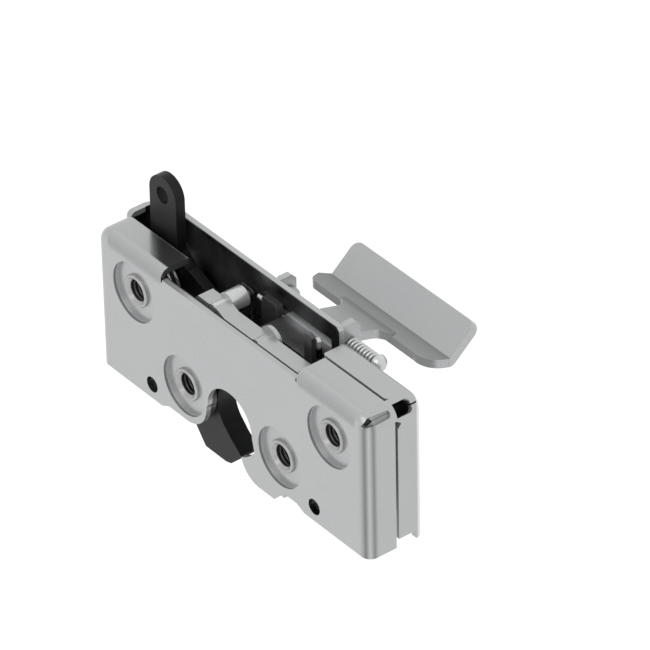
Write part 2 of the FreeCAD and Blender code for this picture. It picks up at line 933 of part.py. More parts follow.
def make_neck():
    """Sloped neck, widening in rounded corners where it meets the flat part."""
    reach = neck_fillet
    start = tab_front_y - reach
    front = tab_front_y + 2.0
    plan = [
        (neck_left, hinge_y),
        (neck_left, start),
        arc_to((neck_left - reach, start), reach, 0, 90),
        (neck_left - reach, front),
        (neck_right + reach, front),
        (neck_right + reach, tab_front_y),
        arc_to((neck_right + reach, start), reach, 90, 180),
        (neck_right, hinge_y),
    ]
    slab = plate_yz(neck_section(), neck_left - reach, neck_right + reach)
    face = Part.Face(outline(plan, to_xy, leg_bottom - hinge_z))
    return slab.common(face.extrude(V(0, 0, 2 * hinge_z)))


def lifting_finger():
    """Finger from the paddle's leg to a place under the pawl's stud."""
    top = stud_z - stud_radius - side_gap - running_gap
    bottom = top - finger_thickness
    root = block(leg_left, leg_left + paddle_thickness, finger_front,
                 leg_front + paddle_thickness, bottom, leg_top)
    section = [
        (finger_front, bottom + finger_chamfer),
        (finger_front, top),
        (finger_back, top),
        (finger_back, bottom),
        (finger_front + finger_chamfer, bottom),
    ]
    return root.fuse(plate_yz(section, finger_left, leg_left + 1.0))


def make_tine():
    """Upright tine at the right of the paddle's leg, rounded at its top."""
    right = leg_right + tine_width
    tine = block(leg_right, right, leg_front, leg_front + tine_depth, leg_bottom, tine_top)
    corners = [(leg_right, tine_top), (right, tine_top)]
    return tine.makeFillet(tine_round, [e for e in tine.Edges if is_corner(e, corners)])


def make_paddle():
    """Inside-release paddle: grip, neck, hinge barrel, leg and lifting finger."""
    inner_left = left_ear_x + sheet + side_gap
    inner_right = right_ear_x - side_gap
    leg = block(leg_left, inner_right, leg_front, hinge_y, leg_bottom, leg_top)
    lip = block(leg_left, leg_right + tine_width, leg_front, leg_front + lip_depth,
                leg_bottom, leg_top)
    body = make_neck().fuse([leg, lip, rod(barrel_radius, inner_left, inner_right)])
    for x_left in (inner_left, inner_right - knuckle_width):
        body = body.fuse(rod(knuckle_radius, x_left, x_left + knuckle_width))
    body = body.fuse(grip())
    body = body.fuse([lifting_finger(), make_tine()])
    body = body.cut(rod(pin_radius + bore_gap, inner_left - 1, inner_right + 1))
    return body.removeSplitter()


def make_catch_pin():
    """Round-topped pin standing on the leg beside the tine."""
    radius = catch_pin_radius
    height = tine_top - catch_pin_drop - radius - leg_top
    centre = V(leg_right + tine_width - radius,
               leg_front + tine_depth + catch_pin_gap + radius, leg_top)
    pin = Part.makeCylinder(radius, height, centre, ALONG_Z)
    return pin.fuse(Part.makeSphere(radius, centre + V(0, 0, height)))


def make_hinge_pin():
    """Pin through the ears, with a domed head beyond the spring."""
    left = left_ear_x - pin_tail
    body = rod(pin_radius, left, pin_head_x)
    dome = Part.makeSphere(pin_head_radius, V(pin_head_x, hinge_y, hinge_z))
    keep = rod(2 * pin_head_radius, pin_head_x, pin_head_x + 2 * pin_head_radius)
    body = body.fuse(dome.common(keep))
    ring_place = left + pin_tail / 3
    groove = rod(pin_radius + 1, ring_place, ring_place + pin_groove)
    return body.cut(groove.cut(rod(pin_radius - pin_groove_depth, ring_place - 1,
                                   ring_place + pin_groove + 1)))


def make_pin_ring():
    """Retaining ring in the groove at the pin's left end."""
    left = left_ear_x - pin_tail + pin_tail / 3 + (pin_groove - ring_thickness) / 2
    right = left + ring_thickness
    inner = pin_radius - pin_groove_depth + bore_gap
    return rod(inner + ring_width, left, right).cut(rod(inner, left, right))


def swept_wire(edges, radius):
    """Round wire along a chain of lines and arcs that meet smoothly."""
    path = Part.Wire(edges)
    first = path.OrderedEdges[0]
    start = first.valueAt(first.FirstParameter)
    along = first.tangentAt(first.FirstParameter)
    ring = Part.Wire([Part.makeCircle(radius, start, along)])
    return path.makePipe(Part.Face(ring))


def line(start, end):
    return Part.LineSegment(start, end).toShape()


def arc(start, middle, end):
    return Part.Arc(start, middle, end).toShape()


def half_turns(mean_radius, pitch, count):
    """Coil about Z as tilted half circles, from +X at the origin's level."""
    edges = []
    bulge = math.hypot(mean_radius, pitch / 4)
    for turn in range(count):
        side = 1 if turn % 2 == 0 else -1
        low = turn * pitch / 2
        start = V(side * mean_radius, 0, low)
        middle = V(0, side * bulge, low + pitch / 4)
        end = V(-side * mean_radius, 0, low + pitch / 2)
        edges.append(arc(start, middle, end))
    return edges


def make_paddle_spring():
    """Return spring round the hinge pin, between the right ear and the pin's head."""
    radius = return_wire_radius
    mean = pin_radius + bore_gap + radius
    start_x = right_ear_x + sheet + running_gap + radius
    pitch = (pin_head_x - radius - start_x) / return_turns
    start = V(mean, 0, 0)
    edges = [line(start - V(0, return_leg, 0), start)]
    edges += half_turns(mean, pitch, 2 * return_turns)
    body = swept_wire(edges, radius).mirror(V(0, 0, 0), ALONG_Y)
    body.rotate(V(0, 0, 0), ALONG_Z, -return_leg_lean_deg)
    body.rotate(V(0, 0, 0), ALONG_Y, 90)
    body.rotate(V(0, 0, 0), ALONG_X, -90)
    body.translate(V(start_x, hinge_y, hinge_z))
    return body


def pivot_spring(centre, y_front, y_back, turns):
    """Torsion spring round a sleeve, with a straight leg at each end."""
    mean = sleeve_radius + pivot_spring_clearance + wire_radius
    rise = y_back - y_front - 2 * wire_radius
    coils = half_turns(mean, rise / turns, 2 * turns)
    start = V(mean, 0, 0)
    end = V(mean, 0, rise)
    leg = V(0, pivot_leg, 0)
    body = swept_wire([line(start - leg, start)] + coils + [line(end, end + leg)], wire_radius)
    body.rotate(V(0, 0, 0), ALONG_X, -90)
    body.translate(V(centre[0], y_front + wire_radius, centre[1]))
    return body


def make_pull_spring():
    """Extension spring that hooks over the tip of the pawl's stud."""
    y = rear_face - pull_coil_inset
    bend = pull_bend_radius
    cut_in = bend * (1 - math.sqrt(0.5))
    right = pull_coil_x + pull_coil_radius
    left = pull_coil_x - pull_coil_radius
    low = pull_coil_bottom
    high = low + pull_half_turns * pull_pitch / 2
    hook = stud_z + stud_tip_radius + wire_radius + bore_gap
    edges = [line(V(right, rear_face - side_gap, low), V(right, y, low))]
    for edge in half_turns(pull_coil_radius, -pull_pitch, pull_half_turns):
        edge.rotate(V(0, 0, 0), ALONG_X, 180)
        edge.translate(V(pull_coil_x, y, low))
        edges.append(edge)
    edges += [
        arc(V(left, y, high), V(left, y + bend - cut_in, high + cut_in),
            V(left, y + bend, high + bend)),
        line(V(left, y + bend, high + bend), V(left, y + bend, hook - bend)),
        arc(V(left, y + bend, hook - bend), V(left - cut_in, y + bend, hook - cut_in),
            V(left - bend, y + bend, hook)),
        line(V(left - bend, y + bend, hook), V(pull_hook_end, y + bend, hook)),
    ]
    return swept_wire(edges, wire_radius)


def make_anchor_plate():
    """Small plate on the rear wall beside the pawl's spring."""
    left = anchor_plate_left
    right = leg_left - side_gap - running_gap
    top = top_height - anchor_plate_drop
    points = [
        (left, anchor_plate_bottom),
        (left, top - 0.8),
        (left + 0.8, top),
        (right - 1.6, top),
        ((right - 0.5, top - 0.5), (right, top - 1.6)),
        (right, anchor_plate_bottom),
    ]
    return plate_xz(points, rear_face - anchor_plate_thickness, rear_face)


def make_anchor_pin():
    """Pin in the side of the small plate."""
    return rod(anchor_pin_radius, anchor_pin_left, anchor_plate_left,
               rear_face - anchor_plate_thickness / 2, top_height - anchor_pin_drop)


def spacer_parts():
    """Spacer tubes that hold the moving plates at their depth on the sleeves."""
    inner = sleeve_radius + bore_gap
    return {
        "rotor_spacer": tube(LOWER_LEFT, inner, spacer_wall, rotor_back + side_gap, floor_rear),
        "pawl_spacer": tube(UPPER_RIGHT, inner, spacer_wall, pawl_hub_back + side_gap,
                            floor_rear),
        "crank_front_spacer": tube(UPPER_LEFT, inner, spacer_wall, floor_front,
                                   crank_front - running_gap),
        "crank_washer": tube(UPPER_LEFT, inner, washer_wall, crank_back + running_gap,
                             floor_rear),
    }


def build_parts():
    parts = {
        "front_shell": make_front_shell(),
        "rear_shell": make_rear_shell(),
        "rotor": make_rotor(),
        "pawl": make_pawl(),
        "pawl_stud": make_pawl_stud(),
        "pawl_button": make_pawl_button(),
        "release_crank": make_release_crank(),
        "paddle": make_paddle(),
        "catch_pin": make_catch_pin(),
        "hinge_pin": make_hinge_pin(),
        "pin_ring": make_pin_ring(),
        "paddle_spring": make_paddle_spring(),
        "anchor_plate": make_anchor_plate(),
        "anchor_pin": make_anchor_pin(),
        "rotor_spring": pivot_spring(LOWER_LEFT, rotor_back + side_gap,
                                     floor_rear - running_gap, rotor_spring_turns),
        "crank_spring": pivot_spring(UPPER_LEFT, floor_front + running_gap,
                                     crank_front - side_gap, crank_spring_turns),
        "pawl_spring": make_pull_spring(),
    }
    for name, centre in SLEEVES.items():
        parts[name] = make_sleeve(centre)
    parts.update(spacer_parts())
    return parts


def main():
    os.makedirs("parts", exist_ok=True)
    for name, shape in build_parts().items():
        shape.exportStep("parts/" + name + ".step")


main()
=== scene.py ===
# Cab door latch: finishes, small forms, studio light and the camera.
# Everything is in metres, in the latch's own frame: X along it, Y to the rear, Z up.
import bpy
import json
import math
from mathutils import Matrix, Vector


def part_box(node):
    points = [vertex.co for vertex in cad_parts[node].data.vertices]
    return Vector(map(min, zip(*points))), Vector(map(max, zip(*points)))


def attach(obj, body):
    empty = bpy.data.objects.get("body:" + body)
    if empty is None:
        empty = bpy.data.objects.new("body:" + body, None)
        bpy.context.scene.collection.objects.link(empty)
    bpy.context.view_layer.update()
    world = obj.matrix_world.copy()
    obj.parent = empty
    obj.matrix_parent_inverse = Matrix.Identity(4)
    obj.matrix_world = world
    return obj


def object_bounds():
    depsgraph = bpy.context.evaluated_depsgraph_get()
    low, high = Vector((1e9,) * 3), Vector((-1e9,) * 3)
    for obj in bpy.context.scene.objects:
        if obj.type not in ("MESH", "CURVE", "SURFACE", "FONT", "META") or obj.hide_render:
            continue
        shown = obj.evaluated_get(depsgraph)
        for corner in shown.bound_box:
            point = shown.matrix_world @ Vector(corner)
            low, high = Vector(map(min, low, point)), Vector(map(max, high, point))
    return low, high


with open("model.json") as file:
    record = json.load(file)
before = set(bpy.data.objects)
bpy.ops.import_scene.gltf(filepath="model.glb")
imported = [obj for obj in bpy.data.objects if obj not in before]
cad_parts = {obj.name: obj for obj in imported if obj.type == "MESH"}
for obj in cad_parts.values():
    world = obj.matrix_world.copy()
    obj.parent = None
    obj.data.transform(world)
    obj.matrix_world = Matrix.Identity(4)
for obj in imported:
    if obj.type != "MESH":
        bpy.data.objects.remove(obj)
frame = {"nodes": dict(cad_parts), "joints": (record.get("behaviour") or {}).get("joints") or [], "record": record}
cad_low, cad_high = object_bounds()

MM = 0.001

# Camera of the photograph
CAMERA_PLACE = Vector((1.1300, -0.8413, 1.0440))
CAMERA_RIGHT = Vector((0.62204, 0.78280, -0.01706))
CAMERA_UP = Vector((-0.45102, 0.37604, 0.80943))
CAMERA_BACK = Vector((0.64003, -0.49581, 0.58697))
CAMERA_LENS = 346.05
CAMERA_SENSOR = 36.0
CAMERA_NEAR = 0.1
CAMERA_FAR = 50.0

# Studio
FLOOR_DROP = 0.16
FLOOR_SIZE = 8.0
FLOOR_COLOUR = (0.97, 0.97, 0.97, 1.0)
FLOOR_ROUGHNESS = 0.9
SKY_FRONT = (0.99, 0.995, 1.0, 1.0)
SKY_BACK = (1.10, 1.11, 1.11, 1.0)
SKY_SPAN = 0.6
KEY_PLACE = Vector((0.5, -1.3, 1.5))
KEY_AIM = Vector((-0.25, -0.25, -0.2))
KEY_SIZE = 1.7
KEY_POWER = 10.0

# Nodes that share a finish
PLATED_NODES = ("pawl_stud", "hinge_pin", "anchor_pin")
SLEEVE_NODES = (
    "sleeve_upper_left", "sleeve_upper_right", "sleeve_lower_left", "sleeve_lower_right",
)
BLACK_NODES = ("rotor", "release_crank")
DARK_NODES = (
    "anchor_plate", "rotor_spacer", "pawl_spacer", "crank_front_spacer", "crank_washer",
)
WIRE_NODES = ("paddle_spring", "rotor_spring", "crank_spring", "pin_ring")
SHADED_WIRE_NODES = ("pawl_spring", "catch_pin")

# Metal tones, as dark and light ends of the surface's variation
ZINC_TONES = ((0.385, 0.390, 0.392, 1.0), (0.408, 0.413, 0.415, 1.0))
SLEEVE_TONES = ((0.33, 0.33, 0.325, 1.0), (0.40, 0.40, 0.395, 1.0))
WIRE_TONES = ((0.50, 0.50, 0.50, 1.0), (0.60, 0.60, 0.60, 1.0))
BLACK_TONES = ((0.003, 0.003, 0.0033, 1.0), (0.007, 0.007, 0.0073, 1.0))
DARK_TONES = ((0.05, 0.05, 0.052, 1.0), (0.09, 0.09, 0.092, 1.0))
# Painted shade, as dark and light ends: in the sleeves' bores, on the paddle's leg, and inside the shells and
# under the window
BORE_SHADE_TONES = ((0.030, 0.032, 0.030, 1.0), (0.055, 0.057, 0.055, 1.0))
LEG_SHADE_TONES = ((0.06, 0.06, 0.062, 1.0), (0.20, 0.20, 0.205, 1.0))
PAINTED_SHADE_TONES = ((0.010, 0.010, 0.011, 1.0), (0.10, 0.10, 0.105, 1.0))
# Lighter tone of the edges, partly wear and partly painted highlight
EDGE_WEAR_AND_HIGHLIGHT_TONE = (0.62, 0.62, 0.62, 1.0)

# Where a ramp between two tones starts and ends
GRAIN_RAMP = (0.30, 0.70)
SHADE_RAMP = (0.40, 0.70)

# Roughness of the finishes, from the smoothest place to the roughest
SHELL_ROUGH = (0.24, 0.32)
TURNED_ROUGH = (0.26, 0.34)
BRIGHT_ROUGH = (0.20, 0.28)
BLACK_ROUGH = (0.36, 0.46)
DARK_ROUGH = (0.40, 0.50)

# Grain, relief and edges of the finishes
FINE_SCALE = 900.0
FINE_DETAIL = 6.0
FINE_ROUGHNESS = 0.65
BROAD_SCALE = 60.0
BROAD_DETAIL = 3.0
SHELL_FINE_SCALE = 2600.0
BUMP = 0.015
SHELL_BUMP = 0.006
BUMP_DISTANCE = 0.1 * MM
EDGE_RADIUS = 0.22 * MM
EDGE_COSINES = (0.995, 0.80)
EDGE_SAMPLES = 6

# Cosines at which a face starts to look up, or along X, and at which it wholly does
SQUARE_ON = (0.80, 0.95)

# Sizes of the latch that the tones follow
SHEET = 2.0 * MM
CORNER_RADIUS = 5.0 * MM
DENT_DEG = 30.0
DENT_DEPTH = 0.8 * MM
DENT_RUN = 10.0 * MM
RECESS_RADIUS = 9.8 * MM
RECESS_DEPTH = 1.56 * MM
WINDOW_LEFT = -31.25 * MM
WINDOW_RIGHT = 30.7 * MM
UPSTAND_RIGHT = 27.5 * MM
GRIP_RUN = 11.0 * MM
FLAT_RUN = 16.0 * MM

# Margins of the boxes that hold a tone
FAR = 1.0
PLATE_SKIN = 0.8 * SHEET
FLANGE_SKIN = 0.9 * SHEET
WALL_REACH = 0.2 * SHEET
INSIDE_FADE = 0.15 * MM
WINDOW_FADE = 1.5 * MM
THIN_FADE = 0.05 * MM
FACE_MARGIN = 0.1 * MM
FLANGE_MARGIN = 0.2 * MM
HOLE_MARGIN = 0.1 * MM
HOLE_END_GAP = 0.05 * MM
BORE_MARGIN = 0.08 * MM
BORE_END_GAP = 0.2 * MM
BORE_FADE = 0.08 * MM

# Painted shade on the pieces that stand in the window, as its drop below the pawl's top
PAWL_SHADE_DROP = 1.0 * MM
WIRE_SHADE_DROP = -1.8 * MM
LEG_SHADE_DROP = -9.0 * MM
LEG_SHADE_REACH = 1.0 * MM
LEG_SHADE_FADE = 1.0 * MM

# Painted reflection: brightness stops round the end bend, and the reach of their bands
END_REFLECTION_BANDS = (
    (0.0, 1.0), (0.134, 0.91), (0.253, 0.75), (0.348, 0.48), (0.39, 0.45), (0.47, 0.77),
    (0.548, 1.08), (0.623, 0.85), (0.704, 0.55), (0.748, 0.52), (0.843, 0.82), (0.91, 1.0),
    (1.0, 1.0),
)
END_BAND_RADIUS = 4.2 * MM
END_BAND_REACH = 8.0 * MM
END_BAND_TOP = 22.6 * MM
END_BAND_FADE = 0.8 * MM

# Painted reflection: brightness stops round the top bend
TOP_REFLECTION_BANDS = (
    (0.0, 1.0), (0.048, 0.93), (0.13, 0.80), (0.21, 0.74), (0.26, 0.73), (0.34, 0.80),
    (0.42, 0.91), (0.5, 0.965), (0.58, 1.0), (0.66, 1.06), (0.74, 0.97), (1.0, 1.0),
)
TOP_BAND_RADIUS = 5.3 * MM
TOP_BAND_FADE = 0.5 * MM

# Painted shade: brightness stops along the dent from its tip, and how near its floor they hold
DENT_BANDS = (
    (0.0, 0.03), (0.08, 0.05), (0.16, 0.20), (0.25, 0.42), (0.33, 0.74), (0.45, 0.62),
    (0.9, 0.62), (1.0, 0.85),
)
DENT_TOLERANCE = 0.08 * MM
DENT_COSINES = (0.98, 0.99)

# Painted shade: brightness stops down the recess walls, and the walls' painted lighter side
WALL_BANDS = ((0.0, 0.58), (0.45, 0.58), (0.62, 1.25), (0.9, 1.3), (1.0, 1.15))
WALL_LIGHT_SIDE = (2.0, 2.0, 2.0, 1.0)
WALL_COSINES = (0.97, 0.75)
WALL_DARK_SIDE = (0.8, 0.0, 0.6)
WALL_SIDE_COSINES = (-0.1, 0.15)

# Painted shade: brightness stops along the paddle's top, from the hinge to the grip's bend
FLAT_BANDS = ((0.0, 0.74), (0.6, 0.76), (0.64, 0.61), (0.9, 0.53), (1.0, 0.42))
FLAT_COSINES = (0.5, 0.6)

# Brightness stops of the crank's painted reflection on the top flange, and the painted shade on the flange's cut
# end
CRANK_BANDS = (
    (0.0, 1.0), (0.07, 0.87), (0.21, 0.64), (0.36, 0.50), (0.5, 0.39), (0.64, 0.245),
    (0.79, 0.173), (1.0, 0.142),
)
CRANK_SHADE_START = -36.4 * MM
CRANK_SHADE_RUN = 7.0 * MM
CRANK_SHADE_SLANT = 1.35
CRANK_SHADE_LEFT = 2 * WINDOW_LEFT
CRANK_SHADE_FRONT = 2.5 * MM
CRANK_SHADE_PAST = 3.0 * MM
CRANK_SHADE_ABOVE = 2.0 * MM
CRANK_SHADE_FADE = 0.6 * MM
CUT_END_SHADE = (0.25, 0.25, 0.25, 1.0)
CUT_END_FADE = 0.2 * MM

# Painted highlight along the rear shell's end bend
REAR_EDGE_LIGHT = (1.6, 1.6, 1.6, 1.0)
REAR_EDGE_COSINES = (0.80, 0.90)

# Wing of the paddle's leg
WING_LEFT = -2.9 * MM
WING_WIDTH = 5.0 * MM
WING_DEPTH = 4.6 * MM
WING_DROP = 1.2 * MM
WING_THICKNESS = 1.0 * MM
WING_RIM = 0.4 * MM

# Threads of the sleeves
THREAD_PITCH = 1.25 * MM
THREAD_TURNS = 12
THREAD_STEPS = 40
THREAD_CREST = 0.24 * MM
THREAD_ROOT = 0.04 * MM
THREAD_FOOT = 0.75 * THREAD_PITCH
THREAD_TIP_SHARE = 0.25

# Collars of the two small holes
COLLAR_SIDES = 48
COLLAR_WALL = 0.6 * MM
COLLAR_REACH = 1.6 * MM
COLLAR_RIM = 0.2 * MM

# Rims and smooth shading of the new pieces
RIM_SEGMENTS = 3
SMOOTH_DEG = 35.0

# Layout of the shader nodes in the editor
NODES_A_ROW = 8
NODE_WIDTH = 220
NODE_HEIGHT = 260


class NodeMaker:
    """Places and links the nodes of one tree, from left to right."""

    def __init__(self, tree):
        self.tree = tree
        self.count = len(tree.nodes)

    def add(self, kind, **settings):
        node = self.tree.nodes.new(kind)
        row, column = divmod(self.count, NODES_A_ROW)
        node.location = (NODE_WIDTH * column, -NODE_HEIGHT * row)
        self.count += 1
        for name, value in settings.items():
            setattr(node, name, value)
        return node

    def feed(self, socket, value):
        """Link an output to the socket, or give the socket a constant."""
        if isinstance(value, bpy.types.NodeSocket):
            self.tree.links.new(value, socket)
        else:
            socket.default_value = value

    def group(self, name, values=()):
        """Outputs of a node group, with its inputs given as (name, value)."""
        node = self.add("ShaderNodeGroup", node_tree=bpy.data.node_groups[name])
        for socket, value in values:
            self.feed(node.inputs[socket], value)
        return node.outputs

    def math(self, operation, *values):
        """Result of a Math node."""
        node = self.add("ShaderNodeMath", operation=operation)
        for socket, value in zip(node.inputs, values):
            self.feed(socket, value)
        return node.outputs[0]

    def vector(self, operation, *values):
        """Vector from a Vector Math node."""
        node = self.add("ShaderNodeVectorMath", operation=operation)
        for socket, value in zip(node.inputs, values):
            self.feed(socket, value)
        return node.outputs["Vector"]

    def dot(self, first, second):
        """Dot product of two vectors."""
        node = self.add("ShaderNodeVectorMath", operation="DOT_PRODUCT")
        self.feed(node.inputs[0], first)
        self.feed(node.inputs[1], second)
        return node.outputs["Value"]

    def map_range(self, value, source, target=(0.0, 1.0), **settings):
        """A value carried from one range to another."""
        node = self.add("ShaderNodeMapRange", **settings)
        self.feed(node.inputs["Value"], value)
        self.feed(node.inputs["From Min"], source[0])
        self.feed(node.inputs["From Max"], source[1])
        self.feed(node.inputs["To Min"], target[0])
        self.feed(node.inputs["To Max"], target[1])
        return node.outputs["Result"]

    def place(self):
        """The place in the latch's own frame."""
        return self.add("ShaderNodeTexCoord").outputs["Object"]

    def axes(self, vector):
        """X, Y and Z of a vector."""
        node = self.add("ShaderNodeSeparateXYZ")
        self.feed(node.inputs[0], vector)
        return node.outputs["X"], node.outputs["Y"], node.outputs["Z"]


def group_socket(tree, name, direction, kind, value=None):
    socket = tree.interface.new_socket(name, in_out=direction, socket_type=kind)
    if value is not None:
        socket.default_value = value


def make_grain_group():
    """Fine tone and broad blotches of a metal surface."""
    tree = bpy.data.node_groups.new("surface_grain", "ShaderNodeTree")
    group_socket(tree, "Fine Scale", "INPUT", "NodeSocketFloat", FINE_SCALE)
    group_socket(tree, "Broad Scale", "INPUT", "NodeSocketFloat", BROAD_SCALE)
    group_socket(tree, "Tone", "OUTPUT", "NodeSocketFloat")
    group_socket(tree, "Blotch", "OUTPUT", "NodeSocketFloat")
    maker = NodeMaker(tree)
    inputs = maker.add("NodeGroupInput")
    place = maker.place()
    fine = maker.add("ShaderNodeTexNoise")
    fine.inputs["Detail"].default_value = FINE_DETAIL
    fine.inputs["Roughness"].default_value = FINE_ROUGHNESS
    maker.feed(fine.inputs["Vector"], place)
    maker.feed(fine.inputs["Scale"], inputs.outputs["Fine Scale"])
    broad = maker.add("ShaderNodeTexNoise")
    broad.inputs["Detail"].default_value = BROAD_DETAIL
    maker.feed(broad.inputs["Vector"], place)
    maker.feed(broad.inputs["Scale"], inputs.outputs["Broad Scale"])
    outputs = maker.add("NodeGroupOutput")
    maker.feed(outputs.inputs["Tone"], fine.outputs["Fac"])
    maker.feed(outputs.inputs["Blotch"], broad.outputs["Fac"])


def make_edge_group():
    """Mask of the edges, lightened as worn rims and as painted highlights."""
    tree = bpy.data.node_groups.new("worn_and_highlit_edges", "ShaderNodeTree")
    group_socket(tree, "Radius", "INPUT", "NodeSocketFloat", EDGE_RADIUS)
    group_socket(tree, "Edge", "OUTPUT", "NodeSocketFloat")
    maker = NodeMaker(tree)
    inputs = maker.add("NodeGroupInput")
    rounded = maker.add("ShaderNodeBevel", samples=EDGE_SAMPLES)
    maker.feed(rounded.inputs["Radius"], inputs.outputs["Radius"])
    surface = maker.add("ShaderNodeNewGeometry")
    turn = maker.dot(rounded.outputs["Normal"], surface.outputs["Normal"])
    outputs = maker.add("NodeGroupOutput")
    maker.feed(outputs.inputs["Edge"], maker.map_range(turn, EDGE_COSINES))


def make_inside_group():
    """Mask of what lies inside a box, soft at its faces."""
    tree = bpy.data.node_groups.new("inside_box", "ShaderNodeTree")
    group_socket(tree, "Centre", "INPUT", "NodeSocketVector", (0.0, 0.0, 0.0))
    group_socket(tree, "Half Size", "INPUT", "NodeSocketVector", (FAR, FAR, FAR))
    group_socket(tree, "Softness", "INPUT", "NodeSocketFloat", INSIDE_FADE)
    group_socket(tree, "Mask", "OUTPUT", "NodeSocketFloat")
    maker = NodeMaker(tree)
    inputs = maker.add("NodeGroupInput").outputs
    shift = maker.vector("SUBTRACT", maker.place(), inputs["Centre"])
    room = maker.vector("SUBTRACT", inputs["Half Size"], maker.vector("ABSOLUTE", shift))
    x_room, y_room, z_room = maker.axes(room)
    nearest = maker.math("MINIMUM", maker.math("MINIMUM", x_room, y_room), z_room)
    mask = maker.map_range(nearest, (0.0, inputs["Softness"]), interpolation_type="SMOOTHSTEP")
    outputs = maker.add("NodeGroupOutput")
    maker.feed(outputs.inputs["Mask"], mask)


def tone_ramp(maker, value, tones, span=GRAIN_RAMP):
    """Colour between two tones, over the span of the value."""
    ramp = maker.add("ShaderNodeValToRGB")
    for stop, position, tone in zip(ramp.color_ramp.elements, span, tones):
        stop.position = position
        stop.color = tone
    maker.feed(ramp.inputs["Fac"], value)
    return ramp.outputs["Color"]


def band_ramp(maker, value, bands):
    """Grey ramp through (position, brightness) stops."""
    ramp = maker.add("ShaderNodeValToRGB")
    stops = ramp.color_ramp.elements
    while len(stops) < len(bands):
        stops.new(0.5)
    for stop, (position, grey) in zip(stops, bands):
        stop.position = position
        stop.color = (grey, grey, grey, 1.0)
    maker.feed(ramp.inputs["Fac"], value)
    return ramp.outputs["Color"]


def mix_colour(maker, share, first, second, blend="MIX"):
    mix = maker.add("ShaderNodeMix", data_type="RGBA", blend_type=blend)
    maker.feed(mix.inputs["Factor"], share)
    maker.feed(mix.inputs["A"], first)
    maker.feed(mix.inputs["B"], second)
    return mix.outputs["Result"]


def shade_where(maker, colour, mask, factor):
    """Colour, multiplied by a factor where the mask is 1."""
    return mix_colour(maker, mask, colour, factor, "MULTIPLY")


def shade_mask(maker, boxes):
    """Mask of what lies in any of the boxes, each given as its corners and softness."""
    mask = None
    for low, high, softness in boxes:
        values = (
            ("Centre", (low + high) / 2),
            ("Half Size", (high - low) / 2),
            ("Softness", softness),
        )
        inside = maker.group("inside_box", values)["Mask"]
        mask = inside if mask is None else maker.math("MAXIMUM", mask, inside)
    return mask


def facing(maker, direction, cosines):
    """Mask of the faces that look along a direction, from one cosine to another."""
    surface = maker.add("ShaderNodeNewGeometry")
    return maker.map_range(maker.dot(surface.outputs["Normal"], direction), cosines)


def metal_finish(name, tones, rough, metallic=0.6, specular=0.5, fine_scale=FINE_SCALE,
                 bump=BUMP, edge_lift=0.35, shade_boxes=(), shade_tones=PAINTED_SHADE_TONES):
    """Metal whose tone, gloss and relief vary, with edges lightened as wear and as painted highlight, and painted
    shade in the given boxes.
    """
    material = bpy.data.materials.new(name)
    material.use_nodes = True
    shader = material.node_tree.nodes["Principled BSDF"]
    maker = NodeMaker(material.node_tree)
    grain = maker.group("surface_grain", [("Fine Scale", fine_scale)])
    mean = maker.math("MULTIPLY", maker.math("ADD", grain["Tone"], grain["Blotch"]), 0.5)
    # Edges lightened, partly as wear and partly as painted highlight
    edges = maker.math("MULTIPLY", maker.group("worn_and_highlit_edges")["Edge"], edge_lift)
    colour = mix_colour(maker, edges, tone_ramp(maker, mean, tones), EDGE_WEAR_AND_HIGHLIGHT_TONE)
    # Painted shade: darker tones inside the shade boxes
    if shade_boxes:
        dark = tone_ramp(maker, grain["Blotch"], shade_tones, SHADE_RAMP)
        colour = mix_colour(maker, shade_mask(maker, shade_boxes), colour, dark)
    maker.feed(shader.inputs["Base Color"], colour)
    maker.feed(shader.inputs["Roughness"], maker.map_range(grain["Blotch"], (0.0, 1.0), rough))
    relief = maker.add("ShaderNodeBump")
    relief.inputs["Strength"].default_value = bump
    relief.inputs["Distance"].default_value = BUMP_DISTANCE
    maker.feed(relief.inputs["Height"], grain["Tone"])
    maker.feed(shader.inputs["Normal"], relief.outputs["Normal"])
    shader.inputs["Metallic"].default_value = metallic
    shader.inputs["Specular IOR Level"].default_value = specular
    return material


def repaint(material, paint):
    """Pass the material's colour through a function of a node maker and a colour."""
    colour_socket = material.node_tree.nodes["Principled BSDF"].inputs["Base Color"]
    colour = colour_socket.links[0].from_socket
    maker = NodeMaker(material.node_tree)
    maker.feed(colour_socket, paint(maker, colour))


def bend_bands(maker, first, second, bands):
    """Bands by the angle round a bend's centre, between two distances from that centre."""
    angle = maker.math("ARCTAN2", first, second)
    return band_ramp(maker, maker.math("DIVIDE", angle, math.pi / 2), bands)


def paint_end_bend_reflection(maker, colour):
    """Painted reflection bands round the front shell's end bend, up to the dent."""
    x, y, _ = maker.axes(maker.place())
    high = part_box("front_shell")[1]
    mask = shade_mask(maker, [(
        Vector((high.x - END_BAND_REACH, -MM, -FAR)),
        Vector((FAR, FAR, END_BAND_TOP)),
        END_BAND_FADE,
    )])
    across = maker.math("ADD", x, END_BAND_RADIUS - high.x)
    inwards = maker.math("SUBTRACT", END_BAND_RADIUS, y)
    return shade_where(maker, colour, mask, bend_bands(maker, across, inwards, END_REFLECTION_BANDS))


def paint_top_bend_reflection(maker, colour):
    """Painted reflection bands round the front shell's top bend, on both sides of the window."""
    _, y, z = maker.axes(maker.place())
    low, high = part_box("front_shell")
    spans = (
        (WINDOW_RIGHT, high.x - CORNER_RADIUS),
        (low.x + CORNER_RADIUS, WINDOW_LEFT),
    )
    mask = shade_mask(maker, [
        (Vector((left, -MM, 0.0)), Vector((right, FAR, high.z + MM)), TOP_BAND_FADE)
        for left, right in spans
    ])
    upwards = maker.math("ADD", z, TOP_BAND_RADIUS - high.z)
    inwards = maker.math("SUBTRACT", TOP_BAND_RADIUS, y)
    return shade_where(maker, colour, mask, bend_bands(maker, upwards, inwards, TOP_REFLECTION_BANDS))


